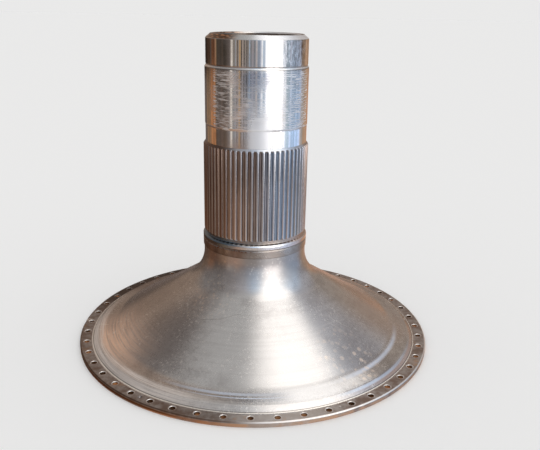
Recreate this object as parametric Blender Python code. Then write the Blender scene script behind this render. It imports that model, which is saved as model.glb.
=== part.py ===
"""Splined hollow stub shaft with a bolted trumpet flange.

One steel forging, turned all over: a thin bolted flange ring at the foot, a conical
trumpet that sweeps up into a neck, a sealing collar with one shallow groove, a
60-tooth spline, a plain bearing land and an upper journal, with a bore through it.

Metres, +Z up. The flange's underside lies on z = 0 and the shaft's axis is +Z.
Angles run from -Y towards +X.
"""
from math import cos, pi, radians, sin, tan

import bmesh
import bpy
from mathutils import Matrix, Vector

MM = 0.001

# Overall sizes
TOTAL_HEIGHT = 384.0 * MM
FLANGE_RADIUS = 227.0 * MM
FLANGE_THICKNESS = 6.0 * MM
FLANGE_EDGE_CHAMFER = 1.0 * MM
FACETS = 60                      # flats round every turned surface, one to a spline tooth

# Bolt circle
BOLT_CIRCLE_RADIUS = 218.5 * MM
BOLT_HOLES = 48
BOLT_HOLE_RADIUS = 3.4 * MM
COUNTERSINK = 0.5 * MM           # small chamfer at the top of each hole
HOLE_SIDES = 8
JACKING_HOLE_RADIUS = 2.2 * MM   # one threaded hole midway between two bolt holes
JACKING_HOLE_STEP = -4.5         # its place, counted in bolt-hole pitches
DIMPLE_RADIUS = 2.2 * MM         # one shallow drill mark midway between two bolt holes
DIMPLE_DEPTH = 0.8 * MM
DIMPLE_STEP = 3.5

# Trumpet, outer side
FACE_INNER_RADIUS = 211.3 * MM           # where the flange's flat face ends
BAND_TOP = (204.0 * MM, 11.6 * MM)       # top of the steep band inside the flat face
SHOULDER = (200.5 * MM, 12.7 * MM)       # its rounded-off corner
CONE_FOOT = (184.2 * MM, 16.2 * MM)      # where the shallow land meets the cone
CONE_ANGLE = radians(32.1)
NECK_RADIUS = 64.9 * MM
NECK_SWEEP_RADIUS = 47.3 * MM            # the arc from the cone up into the neck

# Sealing collar
COLLAR_RADIUS = 66.0 * MM
COLLAR_BOTTOM = 123.8 * MM
COLLAR_TOP = 140.2 * MM
COLLAR_GROOVE = (133.0 * MM, 135.2 * MM)
COLLAR_GROOVE_DEPTH = 0.7 * MM

# Shaft above the collar
RELIEF_RADIUS = 62.0 * MM        # turned relief under the spline
RELIEF_TOP = 145.4 * MM
SPLINE_TEETH = 60
SPLINE_TIP_RADIUS = 64.6 * MM
SPLINE_ROOT_RADIUS = 62.2 * MM
SPLINE_BOTTOM_CHAMFER = 1.2 * MM
SPLINE_TOP = 257.6 * MM
SPLINE_TOP_CHAMFER = 3.6 * MM
SPLINE_FLANK_ANGLE = radians(28)
SPLINE_RUN_OUT = 253.8 * MM      # the spaces' floors end here and climb out
SPLINE_RUN_OUT_SLOPE = 1.4
UPPER_NECK_RADIUS = 62.0 * MM
LAND_BOTTOM = 279.6 * MM
LAND_RADIUS = 62.5 * MM
LAND_TOP = 346.2 * MM
LAND_CHAMFER = (1.3 * MM, 2.0 * MM)  # radial, axial
UNDERCUT_RADIUS = 60.9 * MM
UNDERCUT_TOP = 349.6 * MM
JOURNAL_RADIUS = 61.3 * MM
TOP_CHAMFER = (5.7 * MM, 5.0 * MM)   # radial, axial

# Inside
BORE_RADIUS = 51.5 * MM
BORE_CHAMFER = 1.5 * MM
BELL_CONE_FOOT = (184.2 * MM, 10.3 * MM)
BELL_CONE_ANGLE = radians(30.6)
BELL_SWEEP_RADIUS = 55.0 * MM    # the arc from the bell up into the bore
BELL_MOUTH_RADIUS = 198.0 * MM
BELL_MOUTH_CORNER = 2.5 * MM
BELL_MOUTH_HEIGHT = 7.4 * MM


def sweep(shaft_radius, foot, angle, arc_radius, steps):
    """The arc that joins a straight shaft to a cone, from its upper end to its lower.

    The cone rises from `foot` at `angle` towards the shaft. Their lines cross at a
    corner, and the arc touches each of them arc_radius * tan(turn / 2) from it."""
    corner_z = foot[1] + (foot[0] - shaft_radius) * tan(angle)
    turn = pi / 2 - angle
    centre_r = shaft_radius + arc_radius
    centre_z = corner_z + arc_radius * tan(turn / 2)
    angles = [turn * i / steps for i in range(steps + 1)]
    return [(centre_r - arc_radius * cos(a), centre_z - arc_radius * sin(a)) for a in angles]


def outer_profile():
    """The outside of the forging, from the bore's upper edge down to the flange's rim."""
    chamfer_r, chamfer_z = TOP_CHAMFER
    land_chamfer_r, land_chamfer_z = LAND_CHAMFER
    tip_drop = SPLINE_TIP_RADIUS - UPPER_NECK_RADIUS
    groove_low, groove_high = COLLAR_GROOVE
    points = [
        (BORE_RADIUS + BORE_CHAMFER, TOTAL_HEIGHT),
        (JOURNAL_RADIUS - chamfer_r, TOTAL_HEIGHT),
        (JOURNAL_RADIUS, TOTAL_HEIGHT - chamfer_z),
        (JOURNAL_RADIUS, UNDERCUT_TOP + 0.4 * MM),
        (UNDERCUT_RADIUS, UNDERCUT_TOP),
        (LAND_RADIUS - land_chamfer_r, LAND_TOP + land_chamfer_z),
        (LAND_RADIUS, LAND_TOP),
        (LAND_RADIUS, LAND_BOTTOM),
        (UPPER_NECK_RADIUS, LAND_BOTTOM - 0.5 * MM),
        (UPPER_NECK_RADIUS, SPLINE_TOP),
        (SPLINE_TIP_RADIUS, SPLINE_TOP - SPLINE_TOP_CHAMFER),
        (SPLINE_TIP_RADIUS, RELIEF_TOP + SPLINE_BOTTOM_CHAMFER),
        (RELIEF_RADIUS, RELIEF_TOP - tip_drop * 0.2),
        (RELIEF_RADIUS, COLLAR_TOP + 1.6 * MM),
        (COLLAR_RADIUS - 0.8 * MM, COLLAR_TOP),
        (COLLAR_RADIUS, COLLAR_TOP - 1.2 * MM),
        (COLLAR_RADIUS, groove_high),
        (COLLAR_RADIUS - COLLAR_GROOVE_DEPTH, groove_high - 0.7 * MM),
        (COLLAR_RADIUS - COLLAR_GROOVE_DEPTH, groove_low + 0.7 * MM),
        (COLLAR_RADIUS, groove_low),
        (COLLAR_RADIUS - 0.2 * MM, COLLAR_BOTTOM + 0.6 * MM),
        (NECK_RADIUS, COLLAR_BOTTOM),
    ]
    points += sweep(NECK_RADIUS, CONE_FOOT, CONE_ANGLE, NECK_SWEEP_RADIUS, 6)
    points += [
        CONE_FOOT,
        SHOULDER,
        BAND_TOP,
        (FACE_INNER_RADIUS - 1.2 * MM, FLANGE_THICKNESS + 0.9 * MM),
        (FACE_INNER_RADIUS, FLANGE_THICKNESS),
        (FLANGE_RADIUS - FLANGE_EDGE_CHAMFER, FLANGE_THICKNESS),
        (FLANGE_RADIUS, FLANGE_THICKNESS - FLANGE_EDGE_CHAMFER),
        (FLANGE_RADIUS, 0.0),
    ]
    return points


def inner_profile():
    """The inside, from the bell's mouth up through the bore to its upper edge."""
    flare = sweep(BORE_RADIUS, BELL_CONE_FOOT, BELL_CONE_ANGLE, BELL_SWEEP_RADIUS, 5)
    return [
        (BELL_MOUTH_RADIUS, 0.0),
        (BELL_MOUTH_RADIUS, BELL_MOUTH_HEIGHT - BELL_MOUTH_CORNER),
        (BELL_MOUTH_RADIUS - BELL_MOUTH_CORNER, BELL_MOUTH_HEIGHT),
        BELL_CONE_FOOT,
        *reversed(flare),
        (BORE_RADIUS, TOTAL_HEIGHT - BORE_CHAMFER),
    ]


def around(radius, angle, z=0.0):
    """A point at `radius` and `angle`, counted from -Y towards +X."""
    return Vector((radius * sin(angle), -radius * cos(angle), z))


def new_object(name, bm):
    """Make `bm` an object with its faces pointing out."""
    bmesh.ops.recalc_face_normals(bm, faces=bm.faces)
    mesh = bpy.data.meshes.new(name)
    bm.to_mesh(mesh)
    bm.free()
    obj = bpy.data.objects.new(name, mesh)
    bpy.context.scene.collection.objects.link(obj)
    return obj


def turned(name, profile, facets):
    """Spin a closed profile of (radius, height) points round the Z axis."""
    bm = bmesh.new()
    verts = [bm.verts.new(around(r, 0.0, z)) for r, z in profile]
    edges = [bm.edges.new((a, b)) for a, b in zip(verts, verts[1:] + verts[:1])]
    bmesh.ops.spin(bm, geom=verts + edges, cent=(0, 0, 0), axis=(0, 0, 1),
                   angle=2 * pi, steps=facets, use_merge=True, use_duplicate=False)
    return new_object(name, bm)


def drill(bm, position, rings, sides):
    """Add one drill bit to `bm`: a closed turned solid standing at `position`, given
    as (radius, height) rings from the lowest to the highest."""
    loops = []
    for radius, z in rings:
        step = 2 * pi / sides
        loops.append([bm.verts.new(position + around(radius, i * step + step / 2, z))
                      for i in range(sides)])
    for low, high in zip(loops, loops[1:]):
        for i in range(sides):
            j = (i + 1) % sides
            bm.faces.new((low[i], low[j], high[j], high[i]))
    bm.faces.new(loops[0])
    bm.faces.new(loops[-1])


def flange_drills():
    """Every hole in the flange: the bolt circle, the jacking hole and the drill mark."""
    bm = bmesh.new()
    pitch = 2 * pi / BOLT_HOLES
    below, above = -2 * MM, 1.5 * MM

    def through(radius, countersink, angle):
        mouth = FLANGE_THICKNESS - countersink
        rings = [(radius, below), (radius, mouth),
                 (radius + countersink + above, FLANGE_THICKNESS + above)]
        drill(bm, around(BOLT_CIRCLE_RADIUS, angle), rings, HOLE_SIDES)

    for i in range(BOLT_HOLES):
        through(BOLT_HOLE_RADIUS, COUNTERSINK, i * pitch)
    through(JACKING_HOLE_RADIUS, COUNTERSINK, JACKING_HOLE_STEP * pitch)
    floor = FLANGE_THICKNESS - DIMPLE_DEPTH
    rings = [(DIMPLE_RADIUS * 0.5, floor), (DIMPLE_RADIUS + above, FLANGE_THICKNESS + above)]
    drill(bm, around(BOLT_CIRCLE_RADIUS, DIMPLE_STEP * pitch), rings, HOLE_SIDES)
    return new_object("flange_drills", bm)


def spline_cutter():
    """The 60 spaces between the teeth, each a bar with slanted flanks whose upper end
    climbs outwards, so that a plain ring is left above the teeth."""
    bm = bmesh.new()
    outside = SPLINE_TIP_RADIUS + 1.5 * MM
    middle = (SPLINE_TIP_RADIUS + SPLINE_ROOT_RADIUS) / 2
    half_middle = pi * middle / SPLINE_TEETH / 2
    low = COLLAR_TOP + 2.4 * MM

    def half_width(radius):
        return half_middle + (radius - middle) * tan(SPLINE_FLANK_ANGLE)

    def top(radius):
        return SPLINE_RUN_OUT + (radius - SPLINE_ROOT_RADIUS) * SPLINE_RUN_OUT_SLOPE

    section = [(-half_width(SPLINE_ROOT_RADIUS), SPLINE_ROOT_RADIUS),
               (half_width(SPLINE_ROOT_RADIUS), SPLINE_ROOT_RADIUS),
               (half_width(outside), outside),
               (-half_width(outside), outside)]
    for i in range(SPLINE_TEETH):
        turn = Matrix.Rotation(i * 2 * pi / SPLINE_TEETH, 4, "Z")
        ends = [[bm.verts.new(turn @ Vector((x, -y, low))) for x, y in section],
                [bm.verts.new(turn @ Vector((x, -y, top(y)))) for x, y in section]]
        for a in range(4):
            b = (a + 1) % 4
            bm.faces.new((ends[0][a], ends[0][b], ends[1][b], ends[1][a]))
        bm.faces.new(ends[0])
        bm.faces.new(ends[1])
    return new_object("spline_cutter", bm)


def cut(target, cutter):
    """Take `cutter` away from `target`."""
    cutter.hide_render = True
    cutter.display_type = "WIRE"
    modifier = target.modifiers.new(cutter.name, "BOOLEAN")
    modifier.operation = "DIFFERENCE"
    modifier.solver = "EXACT"
    modifier.object = cutter


def steel(name, colour, roughness):
    """A plain steel with its own colour and roughness."""
    material = bpy.data.materials.new(name)
    material.use_nodes = True
    shader = material.node_tree.nodes["Principled BSDF"]
    shader.inputs["Base Color"].default_value = (*colour, 1.0)
    shader.inputs["Roughness"].default_value = roughness
    shader.inputs["Metallic"].default_value = 1.0
    return material


for old in list(bpy.data.objects):
    bpy.data.objects.remove(old, do_unlink=True)

shaft = turned("stub_shaft", outer_profile() + inner_profile(), FACETS)
shaft.data.materials.append(steel("turned_steel", (0.44, 0.42, 0.40), 0.26))
shaft.data.shade_smooth()
shaft.data.set_sharp_from_angle(angle=radians(25))
cut(shaft, spline_cutter())
cut(shaft, flange_drills())
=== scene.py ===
# %% [markdown]
# # A splined stub shaft with a bolted trumpet flange
# This script dresses one machined forging: a thin bolted ring, a cone that sweeps up
# into a neck, a sealing collar, a spline, a bearing land and an upper journal.
# Every surface on it was turned on a lathe or cut in a gear machine, so almost every
# shape here is a profile carried round the Z axis. What makes it look real is the
# metal: bare steel has no colour of its own, it mirrors the room in stripes.
#
# The packed model is the fixed frame. It is loaded first, and its box is kept so that
# the finished pieces can be measured against it.

# %% Load the packed model
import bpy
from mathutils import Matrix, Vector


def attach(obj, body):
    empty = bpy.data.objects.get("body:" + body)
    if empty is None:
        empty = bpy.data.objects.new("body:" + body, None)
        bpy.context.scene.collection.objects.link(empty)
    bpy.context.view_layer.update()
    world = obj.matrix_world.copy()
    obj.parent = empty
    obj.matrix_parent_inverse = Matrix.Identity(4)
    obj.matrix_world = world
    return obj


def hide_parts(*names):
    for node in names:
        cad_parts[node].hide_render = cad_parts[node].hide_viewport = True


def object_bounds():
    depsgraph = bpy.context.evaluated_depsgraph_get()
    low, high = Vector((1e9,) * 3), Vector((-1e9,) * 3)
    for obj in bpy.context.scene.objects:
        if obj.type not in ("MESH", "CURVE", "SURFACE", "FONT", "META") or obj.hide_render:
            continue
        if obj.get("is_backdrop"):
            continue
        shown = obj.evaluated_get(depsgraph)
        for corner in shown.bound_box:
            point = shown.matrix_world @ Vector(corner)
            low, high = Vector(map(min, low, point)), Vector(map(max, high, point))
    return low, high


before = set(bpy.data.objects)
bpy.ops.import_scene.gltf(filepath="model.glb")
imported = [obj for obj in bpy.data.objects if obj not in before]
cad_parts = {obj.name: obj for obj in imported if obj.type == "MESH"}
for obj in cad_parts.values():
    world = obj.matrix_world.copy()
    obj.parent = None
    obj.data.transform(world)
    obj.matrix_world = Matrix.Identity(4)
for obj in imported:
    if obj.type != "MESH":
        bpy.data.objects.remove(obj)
cad_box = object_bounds()
print("packed box", [round(v, 4) for corner in cad_box for v in corner])

# %% [markdown]
# ## The unit
# A drawing of a turned part is in millimetres. The sizes here could be typed in
# metres, as Blender counts, but they are kept as on a drawing and turned into metres
# once, where a mesh is made.

# %% Modules and the unit
from functools import reduce
from math import cos, pi, radians, sin, tan

import bmesh
import bpy
import numpy as np
from mathutils import Matrix, Vector

MM = 0.001
NODE = "stub_shaft"
print("one millimetre is", MM, "Blender units")

# %% [markdown]
# ## The camera
# A camera has to stand where the photographer stood, or nothing else lines up. It could
# be moved by eye, but the flange's ring of holes gives the distance and the tilt: a
# circle seen from nearby is an ellipse whose centre is pushed away, and that push fixes
# the distance. The heights of the rings on the shaft then fix the lens. The picture is
# 540 by 450.

# %% Place the camera
IMAGE_WIDTH = 540
FOCAL_PIXELS = 664.5
SENSOR_WIDTH = 36.0
CAMERA_DISTANCE = 814.5
CAMERA_HEIGHT = 413.5
CAMERA_TURN = radians(0.607)     # round the shaft, from -Y towards +X
CAMERA_YAW = radians(1.364)      # aimed a little to the right of the axis
CAMERA_PITCH = radians(18.151)   # aimed down
CAMERA_ROLL = radians(1.106)

camera_data = bpy.data.cameras.new("camera")
camera_data.sensor_width = SENSOR_WIDTH
camera_data.lens = FOCAL_PIXELS / IMAGE_WIDTH * SENSOR_WIDTH
camera = bpy.data.objects.new("camera", camera_data)
bpy.context.scene.collection.objects.link(camera)
place = Vector((CAMERA_DISTANCE * sin(CAMERA_TURN),
                -CAMERA_DISTANCE * cos(CAMERA_TURN), CAMERA_HEIGHT)) * MM
camera.matrix_world = (Matrix.Translation(place)
                       @ Matrix.Rotation(CAMERA_TURN - CAMERA_YAW, 4, "Z")
                       @ Matrix.Rotation(pi / 2 - CAMERA_PITCH, 4, "X")
                       @ Matrix.Rotation(CAMERA_ROLL, 4, "Z"))
bpy.context.scene.camera = camera
print("lens", round(camera_data.lens, 2), "mm, height", CAMERA_HEIGHT, "mm")

# %% [markdown]
# ## Turned shapes as grids of points
# A turned shape is a function of two numbers: how far along the profile, and how far
# round the axis. The Screw modifier would turn it too, but worked out as one array the
# surface is a grid of points whose places are known. Its rows run round a closed
# outline and its columns round the axis, so the grid meets itself both ways and the
# mesh is closed, with no poles and no open edge.

# %% A mesh from a grid that closes both ways
SHARP_ANGLE = radians(40)     # edges that turn by more are shaded as edges


def new_piece(name, points, quads):
    """A mesh object from points in millimetres and an array of four-cornered faces."""
    mesh = bpy.data.meshes.new(name)
    mesh.vertices.add(len(points))
    mesh.vertices.foreach_set("co", (points * MM).astype(np.float32).ravel())
    mesh.loops.add(quads.size)
    mesh.loops.foreach_set("vertex_index", quads.astype(np.int32).ravel())
    mesh.polygons.add(len(quads))
    mesh.polygons.foreach_set("loop_start", np.arange(0, quads.size, 4, dtype=np.int32))
    mesh.update(calc_edges=True)
    mesh.shade_smooth()
    mesh.set_sharp_from_angle(angle=SHARP_ANGLE)
    piece = bpy.data.objects.new(name, mesh)
    bpy.context.scene.collection.objects.link(piece)
    return piece


def quads_of(shape, rows_close=True, columns_close=True):
    """Faces of one or more grids of points, of shape (..., rows, columns). Where rows
    or columns close, the last one is joined to the first."""
    index = np.arange(np.prod(shape)).reshape(shape)
    beside, above = np.roll(index, -1, axis=-1), np.roll(index, -1, axis=-2)
    across = np.roll(above, -1, axis=-1)
    faces = np.stack([index, beside, across, above], axis=-1)
    if not rows_close:
        faces = faces[..., :-1, :, :]
    if not columns_close:
        faces = faces[..., :-1, :]
    return faces.reshape(-1, 4)


print("a closed grid of 3 by 4 points has", len(quads_of((3, 4))), "faces")

# %% [markdown]
# Real edges are never razor sharp: a turner breaks each one with a file, and that
# little round catches the light. A Bevel modifier cuts all edges alike, and here each
# corner of an outline has its own cut. The corner is bridged by a small curve, and a
# point is set just beside it, so that the smooth shading of the round doesn't spread
# along the straight side next to it.

# %% Outlines with softened corners, and the turned piece
EDGE_BREAK = 0.25
EDGE_STEPS = 4
SOFTENED_POINTS = EDGE_STEPS + 2     # what one corner becomes
LONGEST_CUT = 0.3                    # as a share of the shorter side
SUPPORT = 0.4                        # how far beside the round, as a share of the cut
ROUND_COLUMNS = 480


def softened(outline, cut=EDGE_BREAK):
    """Each corner P becomes a curve from `cut` before it to `cut` after it.

    The curve is (1-t)^2 A + 2t(1-t) P + t^2 B, where A and B lie on the two sides.
    A cut is one number or one for each corner, and is held short on short sides."""
    corner, cut = np.asarray(outline, float), np.reshape(cut, (-1, 1))
    before, after = (np.roll(corner, step, axis=0) - corner for step in (1, -1))
    length_before = np.linalg.norm(before, axis=1, keepdims=True)
    length_after = np.linalg.norm(after, axis=1, keepdims=True)
    cut = np.minimum(cut, LONGEST_CUT * np.minimum(length_before, length_after))
    a, b = corner + before / length_before * cut, corner + after / length_after * cut
    t = np.linspace(0, 1, EDGE_STEPS)[None, :, None]
    a, b, p = a[:, None], b[:, None], corner[:, None]
    curve = (1 - t) ** 2 * a + 2 * t * (1 - t) * p + t ** 2 * b
    support_a, support_b = a + (a - p) * SUPPORT, b + (b - p) * SUPPORT
    return np.concatenate([support_a, curve, support_b], axis=1).reshape(-1, 2)


def around(radius, angle, height):
    """Points at `radius` and `angle`, counted from -Y towards +X."""
    return np.stack(np.broadcast_arrays(radius * np.sin(angle), -radius * np.cos(angle),
                                        height), axis=-1)


def turned(name, outline):
    """The outline of (radius, height) points, carried round the Z axis."""
    angle = np.arange(ROUND_COLUMNS) * 2 * pi / ROUND_COLUMNS
    points = around(outline[:, :1], angle[None, :], outline[:, 1:])
    piece = new_piece(name, points.reshape(-1, 3), quads_of(points.shape[:2]))
    print(f"{name}: {len(piece.data.polygons)} faces, widest {outline[:, 0].max():.1f} mm")
    return piece


square = softened([(0, 0), (1, 0), (1, 1), (0, 1)])
print("a square's four corners become", len(square), "points")

# %% [markdown]
# ## The driving sizes
# These are the same sizes as the solid's, in millimetres. The profile is split where
# the real part has a line: at the flange's inner edge, at the collar, at the ends of
# the spline and at the undercut. Each stretch is a closed ring that takes its own
# finish, and the rings meet face to face where a line is seen anyway.

# %% Sizes of the forging, and the sweep
TOTAL_HEIGHT = 384.0
FLANGE_RADIUS = 227.0
FLANGE_THICKNESS = 6.0
FACE_INNER_RADIUS = 211.3
RING_INNER_RADIUS = 212.8    # the ring and the trumpet meet here, on the flat
BAND_TOP = (204.0, 11.6)
SHOULDER = (200.5, 12.7)
CONE_FOOT = (184.2, 16.2)
CONE_ANGLE = radians(32.1)
NECK_RADIUS = 64.9
NECK_SWEEP_RADIUS = 47.3
COLLAR_BOTTOM = 123.8
RELIEF_TOP = 145.4
SPLINE_TOP = 257.6
UPPER_NECK_RADIUS = 62.0
BORE_RADIUS = 51.5
BELL_CONE_FOOT = (184.2, 10.3)
BELL_CONE_ANGLE = radians(30.6)
BELL_SWEEP_RADIUS = 55.0
BELL_SEAT = (195.5, 7.4)
BELL_MOUTH = (198.0, 4.9)


def sweep(shaft_radius, foot, angle, arc_radius, steps):
    """The arc that joins a straight shaft to a cone, from its upper end to its lower.

    The cone rises from `foot` at `angle`. The two lines cross at a corner, and the
    arc touches each of them arc_radius * tan(turn / 2) from it."""
    corner_z = foot[1] + (foot[0] - shaft_radius) * tan(angle)
    turn = pi / 2 - angle
    a = np.linspace(0, turn, steps)
    r = shaft_radius + arc_radius * (1 - np.cos(a))
    z = corner_z + arc_radius * (tan(turn / 2) - np.sin(a))
    return np.stack([r, z], axis=1)


outer_sweep = sweep(NECK_RADIUS, CONE_FOOT, CONE_ANGLE, NECK_SWEEP_RADIUS, 28)
print("the cone ends and the sweep begins at", outer_sweep[-1].round(1), "mm")

# %% [markdown]
# ## The trumpet
# The cone is turned all over and blended by a lathe's form tool into the neck. It is
# a thin shell: the bell under it follows the same sweep some seven millimetres in. A
# Solidify modifier would give a wall of one thickness, so the outline is drawn instead:
# up the outside, across the top face where the collar sits, and down the bore and the
# bell to the mouth.

# %% Turn the trumpet
def trumpet_outline():
    outer = outer_sweep[::-1]
    bell = sweep(BORE_RADIUS, BELL_CONE_FOOT, BELL_CONE_ANGLE, BELL_SWEEP_RADIUS, 20)
    foot = softened([
        (RING_INNER_RADIUS, FLANGE_THICKNESS),
        (FACE_INNER_RADIUS, FLANGE_THICKNESS),
        BAND_TOP,
        SHOULDER,
        CONE_FOOT,
        tuple(outer[0]),
    ], [0, 1.0, 1.3, 2.4, 5.5, 0])
    mouth = softened([
        tuple(bell[-1]),
        BELL_CONE_FOOT,
        BELL_SEAT,
        BELL_MOUTH,
        (BELL_MOUTH[0], 0.0),
        (RING_INNER_RADIUS, 0.0),
    ], [0, 3.0, 0.8, 0.8, 0.4, 0])
    # the two end corners of each list only give the sides their direction
    inside_ends = slice(SOFTENED_POINTS, -SOFTENED_POINTS)
    ring_side = [(RING_INNER_RADIUS, 0.0), (RING_INNER_RADIUS, FLANGE_THICKNESS)]
    top = [(NECK_RADIUS, COLLAR_BOTTOM), (BORE_RADIUS, COLLAR_BOTTOM)]
    return np.concatenate([ring_side, foot[inside_ends], outer, top, bell,
                           mouth[inside_ends]])


trumpet = turned("trumpet", trumpet_outline())

# %% [markdown]
# ## The sealing collar
# A collar stands a millimetre proud of the neck. Its top is a bright rounded ring, a
# shallow groove runs under the ring, and above it the shaft is relieved so that the
# spline cutter can run out. All of that is one outline, turned in one go as it was on
# the lathe.

# %% Turn the collar
COLLAR_RADIUS = 66.0
COLLAR_TOP = 140.2
COLLAR_GROOVE = (133.0, 135.2)
COLLAR_GROOVE_RADIUS = COLLAR_RADIUS - 0.7
RELIEF_RADIUS = 62.0


def collar_outline():
    low, high = COLLAR_GROOVE
    return softened([
        (BORE_RADIUS, COLLAR_BOTTOM),
        (NECK_RADIUS, COLLAR_BOTTOM),
        (COLLAR_RADIUS - 0.2, COLLAR_BOTTOM + 0.6),
        (COLLAR_RADIUS, low),
        (COLLAR_GROOVE_RADIUS, low + 0.7),
        (COLLAR_GROOVE_RADIUS, high - 0.7),
        (COLLAR_RADIUS, high),
        (COLLAR_RADIUS, COLLAR_TOP - 1.2),
        (COLLAR_RADIUS - 0.8, COLLAR_TOP),
        (RELIEF_RADIUS, COLLAR_TOP + 1.6),
        (RELIEF_RADIUS, RELIEF_TOP),
        (BORE_RADIUS, RELIEF_TOP),
    ], 0.5)


collar = turned("sealing_collar", collar_outline())

# %% [markdown]
# ## The spline
# The spline is cut by a hob, which leaves involute flanks: the curve that a taut
# string draws as it is unwound from a circle. A tooth gets narrower outwards by
# inv(a) = tan(a) - a, where the cosine of a is the base radius over the radius.
# The hob comes in from below and climbs out just under the upper neck, so the spaces
# end in short slopes below a plain bevelled ring. Booleans would cut the spaces one by
# one. Here all of it is one formula: at each angle and height the surface is the
# tooth's radius, raised to the run-out slope and then held under the bevels.

# %% Sizes of the teeth
TEETH = 60
TOOTH_PITCH = 2 * pi / TEETH
TIP_RADIUS = 64.6
ROOT_RADIUS = 62.2
PITCH_RADIUS = 63.5
PRESSURE_ANGLE = radians(30)
ROOT_FILLET = 0.55
TIP_BREAK = 0.18
RUN_OUT_START = 253.8
RUN_OUT_SLOPE = 1.4
TOP_BEVEL = 3.6
BOTTOM_BEVEL = 1.2


def involute(angle):
    return np.tan(angle) - angle


def half_tooth(radius):
    """Half the angle that a tooth fills at `radius`."""
    base = PITCH_RADIUS * cos(PRESSURE_ANGLE)
    narrowing = involute(np.arccos(base / radius)) - involute(PRESSURE_ANGLE)
    return TOOTH_PITCH / 4 - narrowing


print("tooth tip", round(2 * half_tooth(TIP_RADIUS) * TIP_RADIUS, 2), "mm wide")

# %% [markdown]
# The points round one tooth aren't evenly spread. Few lie on the plain root and tip,
# and more on the fillet at the foot of the flank and on the break at the tip's edge,
# where the surface turns quickly and the light runs in a thin line.

# %% The outline of one tooth, then all sixty
def tooth_outline():
    """(angle from the space's centre, radius) from one space's centre to the next."""
    middle = TOOTH_PITCH / 2
    flank = np.linspace(ROOT_RADIUS + ROOT_FILLET, TIP_RADIUS - TIP_BREAK, 5)
    foot_angle = middle - half_tooth(ROOT_RADIUS)
    tip_angle = middle - half_tooth(TIP_RADIUS)
    break_angle = TIP_BREAK / TIP_RADIUS
    fillet = [[foot_angle * 0.62, ROOT_RADIUS],
              [foot_angle * 0.86, ROOT_RADIUS + ROOT_FILLET * 0.10],
              [foot_angle * 1.02, ROOT_RADIUS + ROOT_FILLET * 0.42]]
    tip = [[tip_angle + break_angle * 0.25, TIP_RADIUS - TIP_BREAK * 0.3],
           [tip_angle + break_angle * 1.1, TIP_RADIUS]]
    flank = np.stack([middle - half_tooth(flank), flank], axis=1)
    rise = np.concatenate([[[0.0, ROOT_RADIUS]], fillet, flank, tip])
    fall = np.stack([TOOTH_PITCH - rise[:0:-1, 0], rise[:0:-1, 1]], axis=1)
    return np.concatenate([rise, [[middle, TIP_RADIUS]], fall])


def spline_points():
    tooth = tooth_outline()
    angle = (np.arange(TEETH)[:, None] * TOOTH_PITCH + tooth[None, :, 0]).ravel()
    radius = np.tile(tooth[:, 1], TEETH)
    height = np.concatenate([
        RELIEF_TOP + BOTTOM_BEVEL * np.linspace(0, 1.1, 6),
        np.linspace(RELIEF_TOP + 3, RUN_OUT_START - 1, 12),
        np.linspace(RUN_OUT_START, SPLINE_TOP, 17),
    ])[:, None]
    floor = ROOT_RADIUS + (height - RUN_OUT_START) / RUN_OUT_SLOPE
    drop = TIP_RADIUS - UPPER_NECK_RADIUS
    over_bevel = np.maximum(height - (SPLINE_TOP - TOP_BEVEL), 0)
    bevel = TIP_RADIUS - over_bevel * drop / TOP_BEVEL
    low_bevel = RELIEF_RADIUS + (height - RELIEF_TOP + 0.2 * drop) * drop / BOTTOM_BEVEL
    outside = np.maximum(radius[None, :], floor)
    outside = np.minimum(np.minimum(outside, bevel), np.maximum(low_bevel, RELIEF_RADIUS))
    outside = around(outside, angle[None, :], height)
    bore = around(BORE_RADIUS, angle[None, :], height[::-4])
    return np.concatenate([outside, bore])


points = spline_points()
spline = new_piece("spline", points.reshape(-1, 3), quads_of(points.shape[:2]))
print("spline:", len(spline.data.polygons), "faces,", TEETH, "teeth")

# %% [markdown]
# ## The bearing land and the upper journal
# Above the spline a bearing ran on the long land, and its ring was pressed on and off
# many times, so the land is scored all over. A bevel and an undercut part it from the
# clean upper journal, which ends in a wide chamfer round a narrow flat face. Both are
# turned from outlines, and the tears are left to the finish, being finer than paper.

# %% Turn the land and the journal
LAND_RADIUS = 62.5
LAND_BOTTOM = 279.6
LAND_TOP = 346.2
LAND_CHAMFER = (1.3, 2.0)
UNDERCUT_RADIUS = 60.9
UNDERCUT_MIDDLE = 349.0
UNDERCUT_TOP = 349.6
JOURNAL_RADIUS = 61.3
TOP_CHAMFER = (5.7, 5.0)
CHAMFER_FOOT = TOTAL_HEIGHT - TOP_CHAMFER[1]
BORE_CHAMFER = 1.5

land = turned("bearing_land", softened([
    (BORE_RADIUS, SPLINE_TOP),
    (UPPER_NECK_RADIUS, SPLINE_TOP),
    (UPPER_NECK_RADIUS, LAND_BOTTOM - 1.6),
    (LAND_RADIUS, LAND_BOTTOM),
    (LAND_RADIUS, LAND_TOP),
    (LAND_RADIUS - LAND_CHAMFER[0], LAND_TOP + LAND_CHAMFER[1]),
    (UNDERCUT_RADIUS, UNDERCUT_MIDDLE),
    (BORE_RADIUS, UNDERCUT_MIDDLE),
]))
journal = turned("upper_journal", softened([
    (BORE_RADIUS, UNDERCUT_MIDDLE),
    (UNDERCUT_RADIUS, UNDERCUT_MIDDLE),
    (UNDERCUT_RADIUS, UNDERCUT_TOP),
    (JOURNAL_RADIUS, UNDERCUT_TOP + 0.4),
    (JOURNAL_RADIUS, CHAMFER_FOOT),
    (JOURNAL_RADIUS - TOP_CHAMFER[0], TOTAL_HEIGHT),
    (BORE_RADIUS + BORE_CHAMFER, TOTAL_HEIGHT),
    (BORE_RADIUS, TOTAL_HEIGHT - BORE_CHAMFER),
]))

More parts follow.
